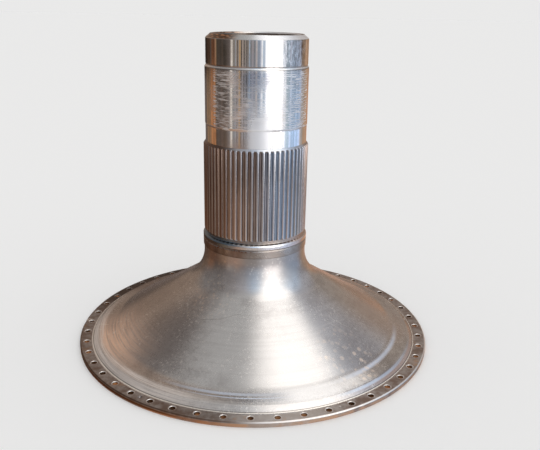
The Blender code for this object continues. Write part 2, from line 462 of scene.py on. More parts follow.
# %% [markdown]
# ## The bolted ring
# Forty-eight countersunk holes go round the ring, with one small threaded hole for a
# jacking screw and one shallow drill mark between two of them. A boolean leaves long
# thin faces round a hole, and they shade badly. So the ring is laid out as 96 cells,
# every second one with a hole. In such a cell the points run in loops that change from
# the cell's outline into the circle: P = (1-t) circle + t outline. The loops go in along
# the underside, up the hole's wall and out over the top, so the cell is one grid.

# %% The outline of one cell and its loops
BOLT_CIRCLE_RADIUS = 218.5
BOLT_HOLES = 48
BOLT_HOLE_RADIUS = 3.4
COUNTERSINK = 0.5
RIM_CHAMFER = 1.0
UNDER_BREAK = 0.3
CELLS = 2 * BOLT_HOLES
CELL_ANGLE = 2 * pi / CELLS
SIDE_STEPS = 8
FACE_BLENDS = [0.05, 0.2, 0.45, 0.72, 1]   # how far each loop lies from hole to outline
TOP_RADIUS = FLANGE_RADIUS - RIM_CHAMFER
UNDER_RADIUS = FLANGE_RADIUS - UNDER_BREAK


def flat(angle, radius):
    """Plane coordinates in a cell: across it, and outwards from the shaft's axis."""
    return np.stack(np.broadcast_arrays(radius * np.sin(angle), radius * np.cos(angle)), -1)


def cell_outline(outer_radius):
    """The points round a cell: along its inner arc, out, back along the outer arc, in."""
    t = np.arange(SIDE_STEPS) / SIDE_STEPS
    angle = (t - 0.5) * CELL_ANGLE
    width = outer_radius - RING_INNER_RADIUS
    return np.concatenate([
        flat(angle, RING_INNER_RADIUS),
        flat(CELL_ANGLE / 2, RING_INNER_RADIUS + t * width),
        flat(-angle, outer_radius),
        flat(-CELL_ANGLE / 2, outer_radius - t * width),
    ])


top_outline, under_outline = cell_outline(TOP_RADIUS), cell_outline(UNDER_RADIUS)


def loop(outline, radius, height, blend=0.0):
    """One loop: a circle of `radius` round the hole at blend 0, the outline at 1."""
    away = outline - (0, BOLT_CIRCLE_RADIUS)
    circle = (0, BOLT_CIRCLE_RADIUS) + away * radius / np.linalg.norm(away, axis=1)[:, None]
    place = (1 - blend) * circle + blend * outline
    return np.concatenate([place, np.full((len(place), 1), height)], axis=1)


def placed(cell, numbers):
    """A copy of the cell's points for each number, turned about Z by so many cells.

    With a the cell's angle, (across, out, up) becomes (c cos a + o sin a, c sin a -
    o cos a, up), so that number 0 lies at -Y."""
    angle = np.asarray(numbers)[:, None, None] * CELL_ANGLE
    across, out, up = cell[None, ..., 0], cell[None, ..., 1], cell[None, ..., 2]
    return np.stack([across * np.cos(angle) + out * np.sin(angle),
                     across * np.sin(angle) - out * np.cos(angle),
                     up + 0 * angle], axis=-1)


print(f"cell {CELL_ANGLE * BOLT_CIRCLE_RADIUS:.1f} mm wide,"
      f" {TOP_RADIUS - RING_INNER_RADIUS:.1f} mm deep")

# %% [markdown]
# A thread is a hole whose radius changes with height and angle together: going once
# round the hole lifts the groove by one pitch. The drill mark is the cone that a
# drill's tip leaves when it is touched to the face and lifted again.

# %% The four kinds of cell
JACKING_HOLE_RADIUS = 2.2
JACKING_CELL = -9
THREAD_PITCH = 0.9
THREAD_DEPTH = 0.35
THREAD_ROWS = 46
THREAD_MOUTH = 0.6        # how much wider the hole is at both faces, in thread depths
DRILL_MARK_RADIUS = 2.2
DRILL_MARK_DEPTH = 0.8
DRILL_MARK_CELL = 7


def holed_cell(under_radius, wall, over_radius):
    """Loops in along the underside, up the wall and out over the top face."""
    under = [loop(under_outline, under_radius, 0, blend) for blend in FACE_BLENDS[::-1]]
    over = [loop(top_outline, over_radius, FLANGE_THICKNESS, b) for b in FACE_BLENDS]
    return np.stack(under + wall + over)


def bolt_cell():
    high = FLANGE_THICKNESS - COUNTERSINK
    foot, wide = BOLT_HOLE_RADIUS + UNDER_BREAK, BOLT_HOLE_RADIUS + COUNTERSINK
    soft = 0.08
    steps = [(foot, 0), (BOLT_HOLE_RADIUS, UNDER_BREAK),
             (BOLT_HOLE_RADIUS, FLANGE_THICKNESS / 2), (BOLT_HOLE_RADIUS, high - soft),
             (BOLT_HOLE_RADIUS + soft, high + soft),
             (wide - soft, FLANGE_THICKNESS - soft), (wide + soft, FLANGE_THICKNESS)]
    wall = [loop(top_outline, radius, height) for radius, height in steps]
    return holed_cell(foot, wall, wide + soft)


def jacking_cell():
    """Radius = mean + depth/2 * cos(2 pi (height / pitch - turn)), wider at both faces."""
    away = top_outline - (0, BOLT_CIRCLE_RADIUS)
    turn = np.arctan2(away[:, 1], away[:, 0]) / (2 * pi)
    wall = []
    for height in np.linspace(0, FLANGE_THICKNESS, THREAD_ROWS):
        wave = np.cos(2 * pi * (height / THREAD_PITCH - turn)) / 2
        inside = min(1, height / THREAD_PITCH, (FLANGE_THICKNESS - height) / THREAD_PITCH)
        groove = wave * inside + THREAD_MOUTH * (1 - inside)
        radius = JACKING_HOLE_RADIUS + THREAD_DEPTH * groove
        wall.append(loop(top_outline, radius[:, None], height))
    wide = JACKING_HOLE_RADIUS + THREAD_DEPTH * THREAD_MOUTH
    return holed_cell(wide, wall, wide)


def drill_mark_cell():
    cone = [loop(top_outline, DRILL_MARK_RADIUS * t,
                 FLANGE_THICKNESS - DRILL_MARK_DEPTH * (1 - t)) for t in (0, 0.35, 0.7, 0.96)]
    face = [loop(top_outline, DRILL_MARK_RADIUS, FLANGE_THICKNESS, b)
            for b in (0.01, *FACE_BLENDS[1:])]
    return np.stack(cone + face)


def plain_face(outer_radius, height, inwards):
    """The plain top or underside of a cell, its rows running inwards or outwards."""
    angle = np.linspace(-0.5, 0.5, SIDE_STEPS + 1) * CELL_ANGLE
    radius = np.linspace(RING_INNER_RADIUS, outer_radius, SIDE_STEPS + 1)
    place = flat(angle[None, :], (radius[::-1] if inwards else radius)[:, None])
    return np.concatenate([place, np.full(place.shape[:2] + (1,), height)], axis=2)


print("points in a bolt cell", bolt_cell().shape[:2], "and a jacking cell",
      jacking_cell().shape[:2])

# %% [markdown]
# Every kind of cell is set round the ring as often as it is needed, and two strips
# close the ring outside and inside. The cells share their borders point for point, so
# merging the doubles makes one closed shell of them. The rim took a few knocks in its
# life: each is a shallow dent, depth * exp(-(distance / width)^2), in the outer edge.

# %% Assemble the bolted ring
# each dent: its angle in degrees, its depth and its width
RIM_DENTS = ((-89.8, 0.5, 1.6), (99.2, 0.5, 2.2), (31.0, 0.25, 3.0), (-158.0, 0.35, 2.4))
DENT_REACH = 3.0          # how far in from the rim a dent can be felt
WELD_DISTANCE = 0.01


def ring_parts():
    """Pairs of points and faces, one for each kind of grid in the ring."""
    holes = np.arange(0, CELLS, 2)
    plain = np.setdiff1d(np.arange(1, CELLS, 2), [JACKING_CELL % CELLS, DRILL_MARK_CELL])
    top_face = plain_face(TOP_RADIUS, FLANGE_THICKNESS, inwards=True)
    under_face = plain_face(UNDER_RADIUS, 0.0, inwards=False)
    looped = [placed(bolt_cell(), holes), placed(jacking_cell(), [JACKING_CELL]),
              placed(drill_mark_cell(), [DRILL_MARK_CELL])]
    faces = [placed(top_face, plain), placed(under_face, plain),
             placed(under_face, [DRILL_MARK_CELL])]
    parts = [(p, quads_of(p.shape[:3], rows_close=False)) for p in looped]
    return parts + [(p, quads_of(p.shape[:3], rows_close=False, columns_close=False))
                    for p in faces]


def ring_strips():
    """The rim, from the underside up and over its chamfer, and the hidden inner side."""
    chamfer_foot = FLANGE_THICKNESS - RIM_CHAMFER
    rim = [(UNDER_RADIUS, 0), (FLANGE_RADIUS, UNDER_BREAK), (FLANGE_RADIUS, 2.2),
           (FLANGE_RADIUS, 4.0), (FLANGE_RADIUS, chamfer_foot - 0.12),
           (FLANGE_RADIUS - 0.06, chamfer_foot + 0.06),
           (TOP_RADIUS + 0.12, FLANGE_THICKNESS - 0.1), (TOP_RADIUS, FLANGE_THICKNESS)]
    inner = [(RING_INNER_RADIUS, FLANGE_THICKNESS), (RING_INNER_RADIUS, 0)]
    angle = (np.arange(CELLS * SIDE_STEPS) / SIDE_STEPS - 0.5) * CELL_ANGLE
    lines = np.array(rim), np.array(inner)
    strips = [around(line[:, :1], angle[None, :], line[:, 1:]) for line in lines]
    return [(p, quads_of(p.shape[:2], rows_close=False)) for p in strips]


def dented(points):
    angle = np.arctan2(points[:, 0], -points[:, 1])
    radius = np.hypot(points[:, 0], points[:, 1])
    near_rim = np.clip((radius - (FLANGE_RADIUS - DENT_REACH)) / DENT_REACH, 0, 1)
    for place, depth, width in RIM_DENTS:
        away = (angle - radians(place) + pi) % (2 * pi) - pi
        dent = depth * np.exp(-(away * radius / width) ** 2) * near_rim
        points = points * (1 - (dent / radius)[:, None] * [1, 1, 0])
    return points


def bolted_ring():
    points, quads, count = [], [], 0
    for place, faces in ring_parts() + ring_strips():
        points.append(place.reshape(-1, 3))
        quads.append(faces + count)
        count += len(points[-1])
    ring = new_piece("bolted_ring", dented(np.concatenate(points)), np.concatenate(quads))
    shell = bmesh.new()
    shell.from_mesh(ring.data)
    bmesh.ops.remove_doubles(shell, verts=shell.verts, dist=WELD_DISTANCE * MM)
    open_edges = sum(not edge.is_manifold for edge in shell.edges)
    volume = shell.calc_volume(signed=True)
    shell.to_mesh(ring.data)
    shell.free()
    ring.data.set_sharp_from_angle(angle=SHARP_ANGLE)
    print("bolted_ring:", len(ring.data.polygons), "faces,", open_edges, "open edges,",
          round(volume / MM ** 3), "cubic mm")
    return ring


ring = bolted_ring()

# %% [markdown]
# ## Fields
# Every finish is a tree of nodes. Linked one by one they are hard to read, so the
# output of a node is wrapped as a field: a number, colour or place that changes over
# the surface. Adding or multiplying fields makes the Math nodes for it, and a stain
# that lies in one patch reads `stain * patch`.

# %% A field, and the sums that it can do
class Field:
    """One output of a node, for sums with numbers and with other fields."""

    def __init__(self, output):
        self.output, self.tree = output, output.id_data

    def math(self, operation, *values):
        made = node(self.tree, "Math", dict(enumerate(values)), operation=operation)
        return Field(made.outputs[0])

    def __add__(self, other):
        return self.math("ADD", self, other)

    def __sub__(self, other):
        return self.math("SUBTRACT", self, other)

    def __rsub__(self, other):
        return self.math("SUBTRACT", other, self)

    def __mul__(self, other):
        return self.math("MULTIPLY", self, other)

    def __truediv__(self, other):
        return self.math("DIVIDE", self, other)

    def __rtruediv__(self, other):
        return self.math("DIVIDE", other, self)

    def step(self, low, high, start=0.0, end=1.0):
        """A smooth step: `start` up to low, `end` from high on. Low may be above high."""
        inputs = {"Value": self, "From Min": low, "From Max": high,
                  "To Min": start, "To Max": end}
        made = node(self.tree, "MapRange", inputs, interpolation_type="SMOOTHSTEP")
        return Field(made.outputs[0])

    def band(self, low, high, soft):
        """1 from low to high, falling to 0 over `soft` at each end."""
        return self.step(low - soft, low) * self.step(high, high + soft, 1.0, 0.0)


def node(tree, kind, inputs=None, **settings):
    """A shader node, its settings made before its inputs are fed."""
    made = tree.nodes.new("ShaderNode" + kind)
    for name, value in settings.items():
        setattr(made, name, value)
    for name, value in (inputs or {}).items():
        feed(made.inputs[name], value)
    return made


def feed(socket, value):
    """Links a socket to a field, or sets the socket's own value."""
    if isinstance(value, Field):
        value.tree.links.new(value.output, socket)
    else:
        socket.default_value = value


def most(first, *others):
    """The greatest of several fields at each place."""
    return reduce(lambda one, other: one.math("MAXIMUM", one, other), others, first)


def length(a, b):
    """The square root of a^2 + b^2."""
    total = a * a + b * b
    return total.math("SQRT", total)


print("a field can", [name for name in vars(Field) if not name.startswith("_")])

# %% [markdown]
# Colours and places are fields too. A few functions mix two colours, join and split
# the parts of a place, do sums with places, and make the cloudy noise that stains,
# films and bloom all come from.

# %% Colours, places and noise
def rgba(colour):
    return (*colour, 1.0) if isinstance(colour, tuple) else colour


def mix(factor, first, second):
    """The first colour at factor 0, the second at 1."""
    inputs = {0: factor, 6: rgba(first), 7: rgba(second)}
    return Field(node(factor.tree, "Mix", inputs, data_type="RGBA").outputs[2])


def joined(*parts):
    return Field(node(parts[0].tree, "CombineXYZ", dict(enumerate(parts))).outputs[0])


def split(place):
    outputs = node(place.tree, "SeparateXYZ", {0: place}).outputs
    return [Field(output) for output in outputs]


def vectors(operation, first, second):
    """A sum of two places, or of a place and the number that scales it."""
    tree = (first if isinstance(first, Field) else second).tree
    inputs = {0: first, "Scale" if operation == "SCALE" else 1: second}
    made = node(tree, "VectorMath", inputs, operation=operation)
    gives_number = operation in ("DISTANCE", "DOT_PRODUCT")
    return Field(made.outputs["Value" if gives_number else 0])


def bearing_of(x, y):
    """The angle round Z, from -Y towards +X."""
    return x.math("ARCTAN2", x, y * -1)


def noise(place, detail, roughness=0.55):
    inputs = {"Vector": place, "Scale": 1.0, "Detail": detail, "Roughness": roughness}
    return Field(node(place.tree, "TexNoise", inputs).outputs["Fac"])


print("rgba adds alpha:", rgba((0.6, 0.6, 0.6)))

# %% [markdown]
# ## Where a point lies on the lathe
# Turned metal is best described as the turner sees it: how far round, and how far
# along. The angle itself jumps where it comes full circle, and a pattern would show a
# seam there. The point on the unit circle, (x / r, y / r), never jumps. So a pattern
# reads the vector (round * x / r, round * y / r, along * (z - r)). The last number
# rises all the way from the flange, over the cone, to the top of the shaft. A large
# `along` with a small `round` draws the fine rings that a lathe's tool leaves.
#
# Marks that sit in one place are soft spots and strokes, given as on a drawing by a
# radius and an angle. Drops of limescale are round, and noise alone makes worms, so
# they come from a Voronoi texture: each of its cells has a random middle point.
#
# Those fine grooves also bend the light: each spreads a reflection across itself and
# never along itself. Blender's own tangent runs round Z, and a quarter turn of it lays
# the spread along the shaft.

# %% One finish and its patterns
ACROSS_THE_GROOVES = 0.25


class Finish:
    """A metal's material, with patterns worked out from Object coordinates.

    x, y, z and the radius r are in millimetres, side runs from -1 on the left to 1 on
    the right, and the scales of patterns are per metre."""

    def __init__(self, name, colour, anisotropic):
        self.material = bpy.data.materials.new(name)
        self.material.use_nodes = True
        self.tree = self.material.node_tree
        self.shader = self.tree.nodes["Principled BSDF"]
        feed(self.shader.inputs["Anisotropic"], anisotropic)
        feed(self.shader.inputs["Anisotropic Rotation"], ACROSS_THE_GROOVES)
        self.point = Field(node(self.tree, "TexCoord").outputs["Object"])
        self.x, self.y, self.z = split(vectors("SCALE", self.point, 1 / MM))
        self.r = length(self.x, self.y)
        self.side, self.flat = self.x / self.r, joined(self.x, self.y)
        self.colour, self.rough, self.metal = colour, None, 1.0

    def rings(self, around_scale, along_scale, shift=0.0, detail=2.0):
        """Noise of (round * x / r + shift, round * y / r, along * (z - r))."""
        turn, along = around_scale / self.r, (self.z - self.r) * (along_scale * MM)
        return noise(joined(self.x * turn + shift, self.y * turn, along), detail)

    def mapped(self, scale, move):
        inputs = {"Vector": self.point, "Scale": (scale,) * 3, "Location": move}
        return Field(node(self.tree, "Mapping", inputs).outputs[0])

    def cloud(self, scale, shift=0.0, detail=4.0):
        """Blotches of about 1 / scale metres, the same in every direction."""
        return noise(self.mapped(scale, (shift, shift * 0.7, 0)), detail, 0.6)

    def dots(self, scale, shift, fill):
        """Round dots, at most one in each cell of 1 / scale metres, in a part of them.

        The surface cuts each round blob where it lies, so the dots have many sizes."""
        place = self.mapped(scale, (shift, shift, 0))
        cells = node(self.tree, "TexVoronoi", {"Vector": place, "Scale": 1.0})
        near = Field(cells.outputs["Distance"]).step(0.46, 0.30)
        luck = node(self.tree, "SeparateColor", {0: Field(cells.outputs["Color"])})
        return near * Field(luck.outputs[0]).step(1 - fill, 1.0, 0.3, 1.0)

    def spot(self, radius, angle, near, far):
        """1 within `near` of a place seen from above, 0 beyond `far`.

        With near above far it is the other way round, and spares the place."""
        middle = tuple(around(radius, radians(angle), 0.0))
        return vectors("DISTANCE", self.flat, middle).step(far, near)

    def stroke(self, start, end, width):
        """1 on a straight stroke seen from above, between two (radius, angle) places.

        With h = clamp((p - a).(b - a) / |b - a|^2), it is the smooth step of the
        distance from p to a + h (b - a)."""
        a, b = (around(radius, radians(angle), 0.0) for radius, angle in (start, end))
        run = b - a
        away = vectors("SUBTRACT", self.flat, tuple(a))
        share = vectors("DOT_PRODUCT", away, tuple(run / (run @ run)))
        share = Field(node(self.tree, "Clamp", {0: share}).outputs[0])
        gap = vectors("DISTANCE", away, vectors("SCALE", tuple(run), share))
        return gap.step(width, 0.0)

    def coat(self, amount, colour):
        """Lays a colour over the ones before it, fully where `amount` is 1."""
        self.colour = mix(amount, self.colour, colour)

    def done(self, relief, depth, strength):
        """Feeds the shader. The relief, from 0 to 1, lifts the surface by `depth`."""
        lift = {"Height": relief, "Distance": depth * MM, "Strength": strength}
        ends = {"Base Color": self.colour, "Roughness": self.rough, "Metallic": self.metal,
                "Normal": Field(node(self.tree, "Bump", lift).outputs[0])}
        for name, value in ends.items():
            feed(self.shader.inputs[name], value)
        print(f"{self.material.name}: {len(self.tree.nodes)} nodes")
        return self.material


print("a finish can", [name for name in vars(Finish) if not name.startswith("_")])

# %% [markdown]
# ## The trumpet's satin steel
# The cone was turned with a fine feed and has been handled since: the metal is satin,
# with cloudy stains. Both flanks are painted darker, partly stains and partly painted
# shade, and far round on the left a nearly black patch is painted shade. A painter
# would brush them on by hand. Here each colour is a coat over the ones before, with a
# spot or noise to say where, so that it stays sharp at any distance. Stains keep away
# from the strip down the front where the bright reflection falls, so the colour is
# painted lighter there, and the neck is painted darker to dim its reflection, as
# painted shade.

# %% Stains and painted shade on the cone
SATIN = (0.62, 0.60, 0.585)
SATIN_STAIN_AND_SHADE = (0.36, 0.335, 0.325)
BROWN_STAIN = (0.33, 0.275, 0.245)
DARK_SHADE = (0.19, 0.115, 0.08)
DARK_LINE = (0.16, 0.13, 0.115)


def stain_cone(steel, cloud):
    """Coats stains and painted shade, and returns how much the neck is darkened."""
    # kept off the strip down the front where the bright reflection falls, so the colour is
    # painted lighter there
    off_the_highlight = steel.spot(168, 15, 62, 26)
    steel.coat(cloud.step(0.48, 0.70, 0.0, 0.45) * off_the_highlight, SATIN_STAIN_AND_SHADE)
    # the darker flanks either side of the front are partly stains and partly painted shade
    flanks = most(steel.spot(146, -47, 22, 57) * 0.74, steel.spot(168, 51, 10, 44) * 0.50,
                  steel.spot(192, 51, 12, 40) * 0.75)
    steel.coat(flanks, SATIN_STAIN_AND_SHADE)
    steel.coat(steel.spot(150, -95, 20, 110) * 0.72, BROWN_STAIN)
    # painted shade: nearly black far round on the left, next to the ring
    corner = steel.spot(200, -132, 30, 82) * steel.r.step(155, 195)
    steel.coat(corner * 0.85, DARK_SHADE)
    # the mottle and the pepper also keep away from where the bright reflection falls
    mottle = steel.cloud(75.0, 15.0, 3.0).step(0.42, 0.66, 0.0, 0.32)
    steel.coat(mottle * steel.spot(140, 13, 100, 55), SATIN_STAIN_AND_SHADE)
    pepper = steel.cloud(420.0, 21.0, 2.0).step(0.50, 0.66, 0.0, 0.24)
    steel.coat(pepper * steel.spot(125, 12, 110, 60), DARK_LINE)
    broad_rings = steel.rings(1.2, 160.0, 5.0)
    steel.coat(broad_rings.step(0.35, 0.75, 0.0, 0.18), SATIN_STAIN_AND_SHADE)
    # painted shade: the neck is darkened all round to dim its reflection
    neck = steel.r.step(74.5, 66.0) * 0.62
    steel.coat(neck, SATIN_STAIN_AND_SHADE)
    return neck


# the darkest colour here is the painted shade
print("the darkest stain keeps", round(sum(DARK_SHADE) / sum(SATIN), 2), "of the light")

# %% [markdown]
# The foot of the cone, next to the bolted ring, is wiped to a pale dull band on the
# left. Above it lies the straw and copper tint of heat, drawn out along the turning
# marks. On the right a warm tint lies on the flank, and the narrow band next to the flat
# of the flange is a painted warm reflection.

# %% The wiped foot, the heat tint and a painted warm reflection
WIPED = (0.90, 0.83, 0.775)
HEAT_TINT = (0.86, 0.60, 0.44)
WARM_TINT_AND_REFLECTION = (0.64, 0.47, 0.385)


def tint_foot(steel):
    """Coats the foot, and returns where it is wiped and where it is tinted."""
    r = steel.r
    wiped = (r.band(199, 209.5, 6) * steel.spot(205, -56, 90, 190)
             * steel.rings(3.0, 900.0, 8.0).step(0.36, 0.64, 0.35, 1.0))
    steel.coat(wiped * 0.9, WIPED)
    tinted = (r.step(132, 186) * r.step(206, 197) * steel.spot(188, -68, 10, 100)
              * steel.rings(3.0, 420.0, 6.0, 3.0).step(0.34, 0.62, 0.45, 1.0))
    steel.coat(tinted, HEAT_TINT)
    # painted reflection: the warm band next to the flange's flat, on the right
    warm = r.band(207.5, 210.0, 2.0) * steel.spot(207, 66, 60, 150)
    steel.coat(warm * 0.75, WARM_TINT_AND_REFLECTION)
    steel.coat(steel.spot(160, 84, 10, 75) * 0.45, WARM_TINT_AND_REFLECTION)
    return wiped, tinted


print("the tint is", round(HEAT_TINT[0] / HEAT_TINT[2], 2), "times as red as blue")

# %% [markdown]
# Where the cone meets its foot, and again on the shoulder, narrow bright lines are
# painted in the blue of the sky: they are painted reflections. Two more fine lines part
# the foot from the flat of the flange: a dark one of painted shade in the crease, and a
# cream painted highlight on the round next to it.

# %% The painted sky reflections and the edge lines
SKY_REFLECTION_BLUE = (0.78, 0.86, 1.0)
CREAM_SCRATCH_AND_HIGHLIGHT = (0.93, 0.87, 0.78)


def sky_reflection_lines(steel):
    """Coats the painted reflections of the blue sky, and returns where they are."""
    r = steel.r
    right = r.band(186.8, 187.6, 4.0) * steel.spot(187, 58, 30, 100)
    front = r.band(188.8, 190.2, 2.2) * steel.spot(190, -12, 5, 85)
    second = r.band(194.4, 195.0, 0.9) * steel.spot(195, -6, 10, 75)
    shoulder = r.band(205.2, 206.4, 1.4) * steel.spot(206, 46, 20, 80)
    sky_lines = most(right, front, second, shoulder * 0.7)
    steel.coat(sky_lines * 0.75, SKY_REFLECTION_BLUE)
    return sky_lines


def edge_lines(steel):
    """Coats a painted shade and a painted highlight; returns where the highlight is."""
    # painted shade: a dark line in the crease at the foot of the band
    steel.coat(steel.r.band(210.0, 210.5, 0.3) * 0.7, DARK_LINE)
    cream_highlight = steel.r.band(210.9, 211.5, 0.3)
    steel.coat(cream_highlight * 0.85, CREAM_SCRATCH_AND_HIGHLIGHT)
    return cream_highlight


print("the lines are", round(SKY_REFLECTION_BLUE[2] / SKY_REFLECTION_BLUE[0], 2), "times as blue as red")

# %% [markdown]
# Last come the marks of handling: a fine pale bloom of specks all over, drops of
# limescale low on the right, flecks by the neck, and a few scratches that are dark
# where they are deep and pale where only the skin is broken.

# %% Specks and scratches
PALE_BLOOM = (0.86, 0.82, 0.77)
LIME = (0.94, 0.79, 0.66)
# each scratch: two (radius, angle) ends, a half width, and how dark, or below 0 how pale
SCRATCHES = (
    ((116.5, -32.6), (110.5, -20.5), 0.7, 0.40),
    ((110.5, -20.5), (101.5, -8.1), 0.7, 0.30),
    ((122, 45), (146, 51), 0.6, -0.35),
    ((121, 49), (141, 55), 0.6, -0.35),
    ((127, 41), (133, 58), 0.5, -0.30),
    ((118, 44), (125, 60), 0.5, -0.25),
    ((213, -86), (192, -82), 1.0, -0.60),
    ((213, -84), (200, -79), 0.8, -0.50),
)


def speck_and_scratch(steel, grain):
    """Coats the marks of handling, and returns where the bloom is."""
    bloom = grain.step(0.56, 0.70) * steel.cloud(30.0, 9.0).step(0.40, 0.60)
    steel.coat(bloom * 0.55, PALE_BLOOM)
    drops = steel.dots(140.0, 6.0, 0.7) * steel.spot(168, 42, 14, 46)
    steel.coat(drops * 0.85, LIME)
    flecks = steel.dots(230.0, 2.0, 0.6) * steel.spot(88, -38, 8, 46)
    steel.coat(flecks * 0.45, LIME)
    for start, end, width, darkness in SCRATCHES:
        scratch = steel.stroke(start, end, width)
        steel.coat(scratch * abs(darkness), DARK_LINE if darkness > 0 else CREAM_SCRATCH_AND_HIGHLIGHT)
    return bloom


print(len(SCRATCHES), "scratches,", sum(scratch[3] > 0 for scratch in SCRATCHES), "dark")

# %% [markdown]
# The finish is then put together. Wiped and tinted metal is matt: it scatters light
# and mirrors less, so it is rougher and a little less metallic there.

# %% Satin steel
def satin_steel():
    steel = Finish("satin_turned_steel", SATIN, 0.5)
    cloud, grain = steel.cloud(24.0), steel.cloud(330.0, 3.0, 2.0)
    neck = stain_cone(steel, cloud)
    wiped, tinted = tint_foot(steel)
    sky_lines = sky_reflection_lines(steel)
    bloom = speck_and_scratch(steel, grain)
    cream_highlight = edge_lines(steel)
    steel.rough = (cloud * 0.14 + 0.19 + bloom * 0.12 + wiped * 0.30 + tinted * 0.30
                   + sky_lines * 0.25 + neck * 0.07 + cream_highlight * 0.25)
    steel.metal = 1.0 - most(wiped, tinted) * 0.35
    fine_rings = steel.rings(2.0, 1400.0)
    return steel.done(fine_rings * 0.5 + grain * 0.5, 0.03, 0.6)


satin = satin_steel()

# %% [markdown]
# ## The ground steel of the shaft
# The collar, the bearing land and the journal were ground, so they mirror sharply
# round the shaft and smear a little up and down it. One function makes the clean metal
# for all of them, because they left the same wheel, and each piece adds its own marks.

# %% Clean ground steel
GROUND = (0.60, 0.585, 0.57)
SMUDGE = (0.42, 0.38, 0.35)
BROWN_DIRT_AND_SHADE = (0.12, 0.065, 0.035)
GALL_AND_HIGHLIGHT = (0.88, 0.88, 0.90)


def ground_steel(name, rough, smudge):
    """Cloudy smudges dull the metal, and faint streaks round it vary the gloss."""
    steel = Finish(name, GROUND, 0.6)
    dull = steel.cloud(45.0, 2.0).step(0.42, 0.70)
    steel.coat(dull * smudge, SMUDGE)
    steel.rough = dull * 0.06 + rough + steel.rings(7.0, 260.0, 4.0) * 0.05
    return steel


def ground_marks(steel, marks=None):
    """Finishes with the wheel's fine rings as relief, and any marks added to them."""
    fine_rings = steel.rings(3.0, 2200.0)
    return steel.done(marks + fine_rings if marks else fine_rings, 0.012, 0.4)


print("a smudge keeps", round(sum(SMUDGE) / sum(GROUND), 2), "of the ground steel's light")

# %% [markdown]
# On the journal a rag left a streaked bloom on the right. The chamfer is painted bright
# on the right, as a painted highlight, and dark brown on the left, as painted shade. The
# narrow end face is painted dark but for a bright part at the front left, as painted
# shade.

# %% The journal's steel
WARM_BROWN_SHADE = (0.62, 0.36, 0.22)


def journal_steel():
    steel = ground_steel("ground_journal", 0.05, 0.5)
    z, side = steel.z, steel.side
    smear = (steel.rings(34.0, 130.0, 9.0, 4.0).step(0.42, 0.66)
             * steel.spot(62, 55, 18, 40) * z.step(CHAMFER_FOOT, CHAMFER_FOOT - 2))
    steel.coat(smear * 0.6, GALL_AND_HIGHLIGHT)
    chamfer = z.step(CHAMFER_FOOT + 0.1, CHAMFER_FOOT + 0.5)
    warm = steel.rings(9.0, 300.0, 4.0).step(0.48, 0.62)
    # painted shade: the chamfer is dark brown on the left
    steel.coat(chamfer * side.step(-0.28, -0.62) * 0.88, mix(warm, BROWN_DIRT_AND_SHADE, WARM_BROWN_SHADE))
    # painted highlight: the chamfer is bright on the right
    chamfer_highlight = chamfer * side.step(-0.30, 0.10)
    steel.coat(chamfer_highlight * 0.8, GALL_AND_HIGHLIGHT)
    # painted shade: the end face is dark but for a part at the front left
    end_face = z.step(TOTAL_HEIGHT - 0.4, TOTAL_HEIGHT - 0.1)
    end_face_shade = most(side.step(-0.36, -0.50), side.step(0.12, 0.30)) * end_face
    steel.coat(end_face_shade * 0.85, BROWN_DIRT_AND_SHADE)
    steel.rough = steel.rough + smear * 0.2 + chamfer_highlight * 0.35
    steel.metal = 1.0 - chamfer_highlight * 0.35
    return ground_marks(steel)


journal_finish = journal_steel()

# %% [markdown]
# On the land, short level tears lie where a ring was pressed on. They are thicker on
# the sides than in front and behind: the share of them is 0.40 + 0.75 (x / r)^2. A
# strip on the left is spared. A pale smear widens downwards on the front, and above it
# the front is painted darker, as painted shade. The bevel at the top is painted bright
# as a painted highlight, with a dark line of painted shade under it, and the foot of
# the land is bright with wear and painted highlight. Torn metal is matt, so it is less
# of a mirror, and is lit by the whole room. Thousands of modelled tears would say no
# more than this pattern does.

# %% The land's steel
BLUE_PAINTED_SHADE = (0.30, 0.32, 0.37)
BARE_METAL_AND_HIGHLIGHT = (0.95, 0.94, 0.93)


def land_tears(steel, on_land, share):
    in_front = steel.y.step(-20, -18, 1.0, 0.0)
    behind = steel.y.step(-18, 50, 0.0, 0.8)
    spared_strip = steel.spot(62, -72, 19, 24)
    return (steel.rings(4.4, 1050.0, 7.0).step(0.50, 0.60)
            * steel.rings(3.0, 30.0, 11.0).step(0.32, 0.44) * on_land * share
            * most((1.0 - spared_strip) * in_front, behind))


def land_edges(steel, share):
    """Where the bevel and the land's foot are painted bright, and the step below."""
    wander = steel.rings(5.0, 0.0, 2.0) * 4.0 - 2.0
    bevel = steel.z.band(LAND_TOP + 0.9, LAND_TOP + 1.7, 0.3)
    foot = (steel.z + wander).band(LAND_BOTTOM - 0.3, LAND_BOTTOM + 0.3, 0.5)
    step = steel.z.band(LAND_BOTTOM - 1.2, LAND_BOTTOM - 0.4, 0.3)
    return most(bevel, foot * share), step


